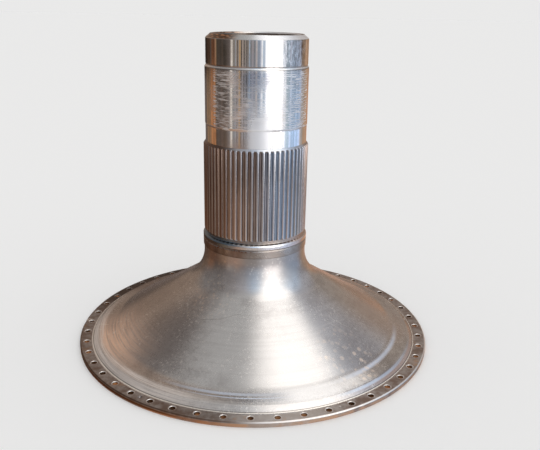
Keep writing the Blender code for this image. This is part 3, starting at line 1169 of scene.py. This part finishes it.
def land_steel():
    steel = ground_steel("scored_land", 0.08, 0.3)
    z, side = steel.z, steel.side
    on_land = z.band(LAND_BOTTOM, LAND_TOP - 4, 4)
    share = side * side * 0.75 + 0.40
    tears = land_tears(steel, on_land, share)
    smear = z.step(318, 276) * steel.spot(62, 5, 8, 20)
    haze = steel.rings(3.0, 40.0, 3.0, 4.0).step(0.46, 0.66) * on_land * 0.55
    haze = most(haze, smear)
    steel.coat(haze * 0.8, GALL_AND_HIGHLIGHT)
    steel.coat(tears, GALL_AND_HIGHLIGHT)
    neck = z.step(LAND_BOTTOM - 1.6, LAND_BOTTOM - 2.4) * side.band(0.48, 0.80, 0.08)
    steel.coat(neck, GALL_AND_HIGHLIGHT)
    # painted shade: the front of the land is darker towards its top
    dim_front = steel.spot(62, 0, 10, 26) * z.step(318, 334) * on_land
    steel.coat(dim_front * 0.6, BLUE_PAINTED_SHADE)
    # painted shade: a dark line at the top edge of the land, under the bright bevel
    steel.coat(z.band(LAND_TOP - 0.2, LAND_TOP + 0.3, 0.2) * 0.6, DARK_LINE)
    edges, step = land_edges(steel, share)
    # painted highlight on the bevel; wear and painted highlight at the foot
    steel.coat(edges, BARE_METAL_AND_HIGHLIGHT)
    steel.rough = steel.rough + haze * 0.22 + tears * 0.45 + most(edges, step) * 0.35
    steel.metal = 1.0 - most(tears * 0.35, smear * 0.40)
    ripple = steel.rings(6.0, 420.0, 2.0, 1.0) * on_land
    return ground_marks(steel, ripple * 5.0 + tears * 3.0)


land_finish = land_steel()

# %% [markdown]
# The collar carries a brown film above and below its bright ring, at the steps there:
# it is oil and painted shade, darker on the left. A row of rust specks lies under the
# ring's edge. The ring itself is painted brighter towards the right, as a painted
# highlight, with a painted cool reflection on the left and a painted warm reflection on
# the right.

# %% The collar's steel
RUST = (0.20, 0.075, 0.03)
DARK_OIL_AND_SHADE = (0.17, 0.13, 0.105)
DULL_OIL_AND_SHADE = (0.35, 0.30, 0.265)
COOL_REFLECTION = (0.15, 0.22, 0.29)
RING_LOW = COLLAR_GROOVE[1] + 0.4


def collar_steel():
    steel = ground_steel("collar_steel", 0.12, 0.35)
    z, side = steel.z, steel.side
    # oil and painted shade at the steps above and below the ring
    film = most(z.step(RING_LOW, RING_LOW - 0.8), z.step(COLLAR_TOP + 0.3, COLLAR_TOP + 1.3))
    film = film * steel.cloud(50.0, 3.0).step(0.3, 0.6, 0.55, 0.9)
    steel.coat(film, mix(side.step(-0.35, 0.25), DARK_OIL_AND_SHADE, DULL_OIL_AND_SHADE))
    # painted highlight: the ring is brighter towards the right
    ring_highlight = z.band(RING_LOW, COLLAR_TOP, 0.3) * side.step(-0.5, 0.1, -0.3, 1.0)
    steel.coat(ring_highlight, GALL_AND_HIGHLIGHT)
    on_ring = z.step(RING_LOW - 0.3, RING_LOW)
    # painted reflections on the ring: cool on the left, warm on the right
    steel.coat(on_ring * side.step(-0.10, -0.50, 0.0, 0.9), COOL_REFLECTION)
    steel.coat(on_ring * side.step(0.45, 0.80, 0.0, 0.7), WARM_TINT_AND_REFLECTION)
    row = z.band(COLLAR_GROOVE[0] - 1.0, COLLAR_GROOVE[1] - 0.4, 0.5) * side.step(0.2, -0.2)
    speck = steel.cloud(430.0, 5.0, 1.0).step(0.54, 0.60) * (row * 0.8 + 0.08)
    steel.coat(speck, RUST)
    steel.rough = steel.rough + film * 0.18 + speck * 0.3
    return ground_marks(steel)


collar_finish = collar_steel()

# %% [markdown]
# ## The spline's steel
# The spline is bright only on the teeth's tops and working flanks. The spaces are
# darker: tan below, and darker towards the top. It could be painted tooth by tooth, but
# the metal simply darkens with depth, and the radius says how deep a point is. The teeth
# are painted dark brown on the left and tan at the far right edge, and the spaces blue
# on the right: these are painted reflections.

# %% Spline steel
TOOTH = (0.58, 0.60, 0.64)
DARK_BROWN_REFLECTION = (0.16, 0.09, 0.055)
TAN_EDGE_REFLECTION = (0.46, 0.32, 0.23)
SPACE = (0.34, 0.245, 0.185)
BLUE_SPACE_REFLECTION = (0.20, 0.26, 0.34)
DARK_BLUE_REFLECTION = (0.06, 0.085, 0.125)


def spline_steel():
    steel = Finish("spline_steel", TOOTH, 0.2)
    z, side = steel.z, steel.side
    toothed = z.step(SPLINE_TOP - 2.4, SPLINE_TOP - 4.2)
    depth = steel.r.step(TIP_RADIUS - 0.2, ROOT_RADIUS + 0.4) * toothed
    # darker towards the top except on the far left, and in cloudy patches
    darkening = (z.step(185, 240) * side.step(-0.75, -0.2) * 0.65
            + steel.cloud(35.0, 6.0).step(0.35, 0.65, 0.0, 0.3))
    # painted reflections: the spaces turn blue on the right
    space = mix(side.step(-0.1, 0.45), SPACE, BLUE_SPACE_REFLECTION)
    space = mix(darkening, space, mix(side.step(0.0, 0.3), BROWN_DIRT_AND_SHADE, DARK_BLUE_REFLECTION))
    steel.coat(steel.cloud(40.0).step(0.40, 0.75, 0.0, 0.25), SMUDGE)
    # painted reflections: the teeth are dark brown on the left and tan at the far right edge
    steel.coat(side.step(-0.30, -0.66, 0.0, 0.9), DARK_BROWN_REFLECTION)
    steel.coat(side.step(0.86, 0.97, 0.0, 0.75), TAN_EDGE_REFLECTION)
    steel.coat(depth * 0.9, space)
    steel.rough = depth * 0.16 + 0.14 + (1.0 - toothed) * 0.14
    return steel.done(steel.cloud(700.0, 1.0, 2.0), 0.02, 0.4)


spline_finish = spline_steel()

# %% [markdown]
# ## The oxidised ring
# The bolted ring was never polished. Heat and old oil have left a dull brown skin on
# it, thin where spanners and nuts rubbed round each hole. At the back left it is painted
# nearly black, as painted shade.
# The marks round a hole need no list of 48 places: the angle is folded onto one bolt,
# so that one circle stands for all the holes.

# %% The marks round each hole
RUBBED = (0.62, 0.56, 0.51)
BARE_EDGE_AND_HIGHLIGHT = (0.92, 0.88, 0.84)
HOLE_RUST = (0.60, 0.33, 0.16)
HOLE_SPACING = 2 * pi / BOLT_HOLES * BOLT_CIRCLE_RADIUS
print("the bolt holes are", round(HOLE_SPACING, 1), "mm apart")


def from_hole(steel):
    """The distance from the middle of the nearest bolt hole, seen from above."""
    turn = bearing_of(steel.x, steel.y) * (BOLT_HOLES / (2 * pi))
    across = (turn - turn.math("ROUND", turn)) * HOLE_SPACING
    return length(across, steel.r - BOLT_CIRCLE_RADIUS)


def mark_holes(steel, fine, clean):
    """Rubs round each hole, brightens its countersink, darkens and rusts its wall."""
    gap, z, hole = from_hole(steel), steel.z, BOLT_HOLE_RADIUS
    rubbed = gap.band(hole + 0.2, hole + 1.1, 0.8) * fine.step(0.35, 0.6, 0.15, 0.75)
    steel.coat(rubbed * clean, RUBBED)
    # wear and painted highlight: a bright ring on the countersink
    steel.coat(gap.band(hole + 0.1, hole + 0.6, 0.1) * clean * 0.85, BARE_EDGE_AND_HIGHLIGHT)
    # painted shade darkens the wall, fully in a band under the top, and rust lies in patches
    # lower down
    wall = (gap.step(hole + 0.3, hole + 0.1)
            * z.step(FLANGE_THICKNESS - 0.4, FLANGE_THICKNESS - 0.7))
    rusty = steel.cloud(42.0, 20.0, 1.0).step(0.44, 0.58) * z.step(5.0, 4.2)
    steel.coat(wall, mix(rusty, BROWN_DIRT_AND_SHADE, HOLE_RUST))
    return wall


# %% [markdown]
# The rim is painted orange in patches, partly rust and partly a painted warm
# reflection, and dark along its upper part on the left, as painted shade. The chamfer
# above it is painted bright on the right, as a painted highlight, and dark on the left,
# as painted shade. On the left edge a splash has bared the metal.

# %% The rim and the ring
OXIDE = (0.41, 0.375, 0.355)
OXIDE_BROWN = (0.23, 0.17, 0.14)
OXIDE_ORANGE = (0.50, 0.29, 0.15)
BLACK_SHADE = (0.07, 0.045, 0.032)
RIM_RUST_AND_WARM_REFLECTION = (0.60, 0.36, 0.22)


def mark_rim(steel, fine):
    r, z = steel.r, steel.z
    on_rim = r.step(TOP_RADIUS, FLANGE_RADIUS - 0.2) * z.step(4.6, 3.6)
    patchy = steel.cloud(34.0, 15.0, 2.0).step(0.40, 0.60, 0.15, 0.9)
    # painted shade: the upper part of the rim is dark on the left
    black = steel.spot(227, -60, 130, 210) * z.step(1.2, 2.0)
    steel.coat(on_rim * most(patchy, black), mix(black * 0.9, RIM_RUST_AND_WARM_REFLECTION, BROWN_DIRT_AND_SHADE))
    chamfer = (r.band(TOP_RADIUS - 0.2, FLANGE_RADIUS, 0.3)
               * z.step(FLANGE_THICKNESS - 1.3, FLANGE_THICKNESS - 0.9))
    # painted highlight on the chamfer's right, painted shade on its left
    right_highlight = steel.side.step(-0.12, 0.10)
    steel.coat(chamfer * 0.75, mix(right_highlight, BROWN_DIRT_AND_SHADE, BARE_EDGE_AND_HIGHLIGHT))
    splash = steel.spot(222.5, -91, 1.5, 6) * fine.step(0.40, 0.52)
    steel.coat(splash * 0.8, BARE_EDGE_AND_HIGHLIGHT)


def oxidised_ring():
    steel = Finish("oxidised_ring", OXIDE, 0.2)
    fine = steel.cloud(380.0, 4.0, 3.0)
    steel.coat(steel.cloud(60.0).step(0.40, 0.66), OXIDE_BROWN)
    steel.coat(steel.cloud(190.0, 17.0, 3.0).step(0.44, 0.60, 0.0, 0.45), OXIDE_BROWN)
    pale = steel.spot(219, 8, 25, 85) * 0.55
    steel.coat(pale, RUBBED)
    steel.coat(steel.cloud(38.0, 12.0).step(0.58, 0.70, 0.0, 0.55), OXIDE_ORANGE)
    # painted shade: nearly black at the back left, where the marks round the holes show less
    back_shade = steel.spot(218, -135, 80, 170)
    steel.coat(back_shade * 0.95, BLACK_SHADE)
    wall = mark_holes(steel, fine, 1.0 - back_shade * 0.70)
    mark_rim(steel, fine)
    steel.rough = fine * 0.2 + 0.32 + wall * 0.2
    steel.metal = 1.0 - pale * 0.7
    return steel.done(fine, 0.05, 0.6)


ring_finish = oxidised_ring()

# %% [markdown]
# ## The inside
# The bore and the bell under the trumpet are darker than all the rest, since nobody
# wipes them. Each piece takes one finish outside and this one inside. A second mesh for
# the inside would leave a seam, so the faces are told apart by their normals: the
# bore's point at the axis, and the bell's point down.

# %% Oiled inside, and paint for the pieces
INSIDE = (0.34, 0.30, 0.27)
INSIDE_FILM = (0.16, 0.11, 0.075)
FACES_AXIS = -0.9         # the outward part of a normal that points at the axis
FACES_DOWN = -0.3


def oiled_inside():
    steel = Finish("oiled_inside", INSIDE, 0.4)
    film = steel.cloud(28.0, 8.0).step(0.38, 0.68)
    steel.coat(film, INSIDE_FILM)
    steel.rough = film * 0.18 + 0.28
    return steel.done(steel.rings(2.0, 900.0), 0.03, 0.5)


def paint(piece, outside, inside):
    piece.data.materials.append(outside)
    piece.data.materials.append(inside)
    faces = piece.data.polygons
    normal, centre = np.empty((2, 3 * len(faces)), np.float32)
    faces.foreach_get("normal", normal)
    faces.foreach_get("center", centre)
    normal, centre = normal.reshape(-1, 3), centre.reshape(-1, 3) / MM
    radius = np.hypot(centre[:, 0], centre[:, 1])
    outward = (normal[:, :2] * centre[:, :2]).sum(axis=1) / radius
    in_bore = (outward < FACES_AXIS) & (radius < BELL_MOUTH[0] + 1)
    hidden = in_bore | (normal[:, 2] < FACES_DOWN)
    faces.foreach_set("material_index", hidden.astype(np.int32))
    print(piece.name, "takes", outside.name, "on", int((~hidden).sum()), "faces")


inside = oiled_inside()
for piece, outside in ((trumpet, satin), (collar, collar_finish), (spline, spline_finish),
                       (land, land_finish), (journal, journal_finish), (ring, ring_finish)):
    paint(piece, outside, inside)

# %% [markdown]
# ## The room that the metal mirrors
# Polished steel shows the room and little of its own. A real room could be modelled
# round it, but only its reflection is ever seen. The world is therefore built like a
# plan of a workshop: going round, each bearing has its own wall or opening, and the
# plan differs between the floor close by, the floor further off, eye level and the
# upper walls. The bearings are degrees from -Y towards +X. The camera itself, and the
# floor's shadows, get a plain pale room instead.
#
# The camera's place and the turned shape say which direction each point of the metal
# mirrors. The bearings and the two dozen colours were chosen by hand from what the
# metal shows in the photograph in those directions, and then from test renders.

# %% The plan of the room
SOOT = (0.03, 0.02, 0.015)
UMBER = (0.09, 0.048, 0.03)
DARK_WALL = (0.15, 0.12, 0.105)
OLIVE = (0.07, 0.055, 0.042)
DARK_RUST = (0.15, 0.065, 0.033)
RUST_WALL = (0.58, 0.27, 0.125)
BROWN_WALL = (0.40, 0.24, 0.145)
CLAY = (0.34, 0.25, 0.20)
LOAM = (0.37, 0.275, 0.215)
TAN = (0.58, 0.36, 0.26)
SAND = (0.40, 0.34, 0.295)
PINK = (0.80, 0.70, 0.66)
CREAM = (1.20, 1.11, 1.02)
AMBER = (0.72, 0.46, 0.24)
STONE = (0.34, 0.32, 0.325)
DIM = (0.24, 0.22, 0.215)
GREY = (0.50, 0.50, 0.54)
NIGHT_BLUE = (0.28, 0.31, 0.38)
DUSK_BLUE = (0.46, 0.52, 0.65)
BLUE_GREY = (0.62, 0.77, 0.97)
SKY_BLUE = (0.50, 0.70, 0.98)
PALE_BLUE = (0.95, 1.08, 1.25)
LIGHT = (1.5, 1.52, 1.55)
WINDOW = (2.6, 2.6, 2.6)

UPPER_WALLS = (
    (-180, DIM), (-162, LOAM), (-136, LOAM), (-116, DIM), (-80, DIM), (-50, STONE),
    (-20, GREY), (0, BLUE_GREY), (12, PALE_BLUE), (20, LIGHT), (28, WINDOW), (50, WINDOW),
    (60, LIGHT), (76, PALE_BLUE), (94, BLUE_GREY), (112, GREY), (128, GREY), (142, SAND),
    (156, SAND), (168, CLAY),
)
EYE_LEVEL = (
    (-180, DARK_WALL), (-165, SOOT), (-146, SOOT), (-136, UMBER), (-126, UMBER),
    (-122, DARK_WALL), (-118, DARK_RUST), (-107, DARK_RUST), (-103, BROWN_WALL),
    (-99.5, BROWN_WALL), (-98, OLIVE), (-72, OLIVE), (-62, DARK_WALL), (-52, SAND),
    (-18, SAND), (-13, STONE), (-4, STONE), (2, DUSK_BLUE), (8, DUSK_BLUE), (14, BLUE_GREY),
    (19, PALE_BLUE), (23, WINDOW), (55, WINDOW), (60, PALE_BLUE), (70, DUSK_BLUE),
    (80, DUSK_BLUE), (94, NIGHT_BLUE), (113, NIGHT_BLUE), (117, UMBER), (124, BROWN_WALL),
    (150, BROWN_WALL),
)
GROUND_LEVEL = (
    (-180, STONE), (-162, DARK_WALL), (-146, DARK_WALL), (-138, BROWN_WALL),
    (-124, BROWN_WALL), (-116, RUST_WALL), (-101, RUST_WALL), (-98.5, DARK_WALL),
    (-70, DARK_WALL), (-60, STONE), (-46, GREY), (-30, GREY), (-14, DUSK_BLUE),
    (3, DUSK_BLUE), (13, BLUE_GREY), (20, PALE_BLUE), (25, WINDOW), (54, WINDOW),
    (62, LIGHT), (72, PALE_BLUE), (86, SKY_BLUE), (113, SKY_BLUE), (119, PINK), (146, PINK),
    (154, RUST_WALL), (162, TAN), (176, TAN),
)
NEAR_FLOOR = (
    (-180, UMBER), (-140, UMBER), (-115, DARK_RUST), (-95, DARK_RUST), (-70, BROWN_WALL),
    (-40, TAN), (-15, SAND), (5, SAND), (30, GREY), (55, GREY), (75, DUSK_BLUE),
    (105, DUSK_BLUE), (122, STONE), (140, BROWN_WALL), (154, TAN), (175, TAN),
)
print("stops in the plan", [len(plan) for plan in (NEAR_FLOOR, GROUND_LEVEL, EYE_LEVEL,
                                                   UPPER_WALLS)])

# %% [markdown]
# Thin upright posts break up the walls at eye level: door frames and window bars, each
# with its bearing, its half width in degrees and a colour. Over the plan stand a few
# soft patches of light: a broad skylight to the right of the zenith, two smaller ones
# behind it, and a warm lamp-lit one low on the right. Each is a bearing and a height,
# the two distances between which it fades out, and a colour.

# %% The posts, the patches of light and the helpers that draw them
POSTS = (
    (-56, 3.4, CREAM), (-46.5, 1.6, GREY), (-42.5, 1.6, OLIVE), (-36.8, 2.4, AMBER),
    (-33, 1.6, OLIVE), (-27, 1.4, OLIVE), (-21.5, 1.4, OLIVE), (-15.3, 1.3, BLUE_GREY),
    (0, 2.2, PINK), (11.8, 2.0, LIGHT), (134, 3.0, SOOT),
)
PATCHES = (
    ((68, 66), (27, 12), (2.1, 2.05, 2.0)),
    ((161, 55), (17, 7), (1.9, 1.9, 1.9)),
    ((128, 70), (14, 5), (1.5, 1.48, 1.46)),
    ((141, -12), (15, 5), (0.60, 0.39, 0.26)),
)
STREAK = 9.0            # fine vertical streaks in the walls, so many to the radian


def ramp(factor, stops):
    """A colour ramp from (bearing, colour) pairs, read with the bearing from 0 to 1."""
    made = node(factor.tree, "ValToRGB", {0: factor})
    steps = made.color_ramp.elements
    steps.remove(steps[1])
    for index, (bearing, colour) in enumerate(stops):
        place = (bearing + 180) / 360
        step = steps[0] if index == 0 else steps.new(place)
        step.position, step.color = place, rgba(colour)
    return Field(made.outputs[0])


def towards(bearing, height):
    """The unit vector to a bearing and a height above the horizon, in degrees."""
    b, h = radians(bearing), radians(height)
    return sin(b) * cos(h), -cos(b) * cos(h), sin(h)


def patch_of_light(room, direction, middle, edges, colour):
    """Mixes in a round patch: the dot product is the cosine of the distance to it."""
    far, near = (cos(radians(edge)) for edge in edges)
    nearness = vectors("DOT_PRODUCT", direction, towards(*middle))
    return mix(nearness.step(far, near), room, colour)


def post(room, bearing, middle, half_width, colour):
    """Mixes in an upright post, full at its bearing and gone at the half width."""
    gap = bearing - radians(middle)
    gap = gap.math("ABSOLUTE", gap)
    return mix(gap.step(radians(half_width), radians(half_width * 0.35)), room, colour)


def streaked(x, y, colour):
    """The colour times a number that changes only with the bearing."""
    turn = STREAK / length(x, y)
    wave = noise(joined(x * turn, y * turn), 2.0, 0.7)
    warm, cool = wave.step(0.35, 0.65, 0.62, 1.45), wave.step(0.38, 0.62, 0.72, 1.32)
    return vectors("MULTIPLY", colour, joined(warm, cool, cool))


print(len(POSTS), "posts and", len(PATCHES), "patches of light")

# %% [markdown]
# The four plans are blended by height above the horizon. A height is compared as the
# sine of its angle, which is the z of the direction that a ray leaves in.

# %% Build the world
ZENITH = (0.56, 0.56, 0.56)
PALE_ROOM = (0.82, 0.818, 0.815)


def height_step(z, low, high, start=0.0, end=1.0):
    return z.step(sin(radians(low)), sin(radians(high)), start, end)


def room_light(tree):
    direction = Field(node(tree, "TexCoord").outputs["Generated"])
    x, y, z = split(direction)
    bearing = bearing_of(x, y)
    turn = bearing * (1 / (2 * pi)) + 0.5
    floor_near, ground, eye, upper = (ramp(turn, plan) for plan in (
        NEAR_FLOOR, GROUND_LEVEL, EYE_LEVEL, UPPER_WALLS))
    floor_near = vectors("SCALE", floor_near, height_step(z, -13, -20, 0.6, 1.35))
    room = streaked(x, y, mix(height_step(z, -6.6, -4.4), ground, eye))
    for middle, half_width, colour in POSTS:
        room = post(room, bearing, middle, half_width, colour)
    room = mix(height_step(z, -12.7, -11.8), floor_near, room)
    room = mix(height_step(z, -2.6, 1.2), room, upper)
    room = mix(height_step(z, 50, 74), room, ZENITH)
    for middle, edges, colour in PATCHES:
        room = patch_of_light(room, direction, middle, edges, colour)
    return room


world = bpy.data.worlds.new("workshop")
bpy.context.scene.world = world
world.use_nodes = True
mirrored = Field(node(world.node_tree, "LightPath").outputs["Is Glossy Ray"])
feed(world.node_tree.nodes["Background"].inputs["Color"],
     mix(mirrored, PALE_ROOM, room_light(world.node_tree)))
print("world nodes", len(world.node_tree.nodes))

# %% [markdown]
# ## The floor
# A wide pale floor carries a soft shadow that sets the part down. It is left out of
# the reflections, because the ground plan above already stands for what lies there.

# %% Lay the floor
FLOOR_HALF = 30000.0


def lay_floor():
    corner = np.array([(-1, -1, 0), (1, -1, 0), (1, 1, 0), (-1, 1, 0)], float) * FLOOR_HALF
    floor = new_piece("floor", corner, np.array([[0, 1, 2, 3]]))
    material = bpy.data.materials.new("pale_floor")
    material.use_nodes = True
    shader = material.node_tree.nodes["Principled BSDF"]
    shader.inputs["Base Color"].default_value = (1, 1, 1, 1)
    shader.inputs["Roughness"].default_value = 0.9
    shader.inputs["Specular IOR Level"].default_value = 0.0
    floor.data.materials.append(material)
    floor.visible_glossy = False
    print("floor", FLOOR_HALF * MM * 2, "m wide")
    return floor


floor = lay_floor()
floor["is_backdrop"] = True
bpy.context.scene.view_settings.view_transform = "Standard"

# %% [markdown]
# ## Hand over the pieces
# Every piece rides on the one body and stands for the same CAD node. The two boxes
# are written side by side, so that a glance shows whether the dressed part still has
# the size of the packed one.

# %% Ride, replace, measure and finish
for piece in (trumpet, ring, collar, spline, land, journal):
    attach(piece, "root")
    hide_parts(NODE)
bpy.context.view_layer.update()
boxes = {"cad": cad_box, "visual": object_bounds()}
boxes = {name: [list(corner) for corner in box] for name, box in boxes.items()}
print("boxes in mm", {name: [[round(v / MM, 1) for v in corner] for corner in box]
                      for name, box in boxes.items()})
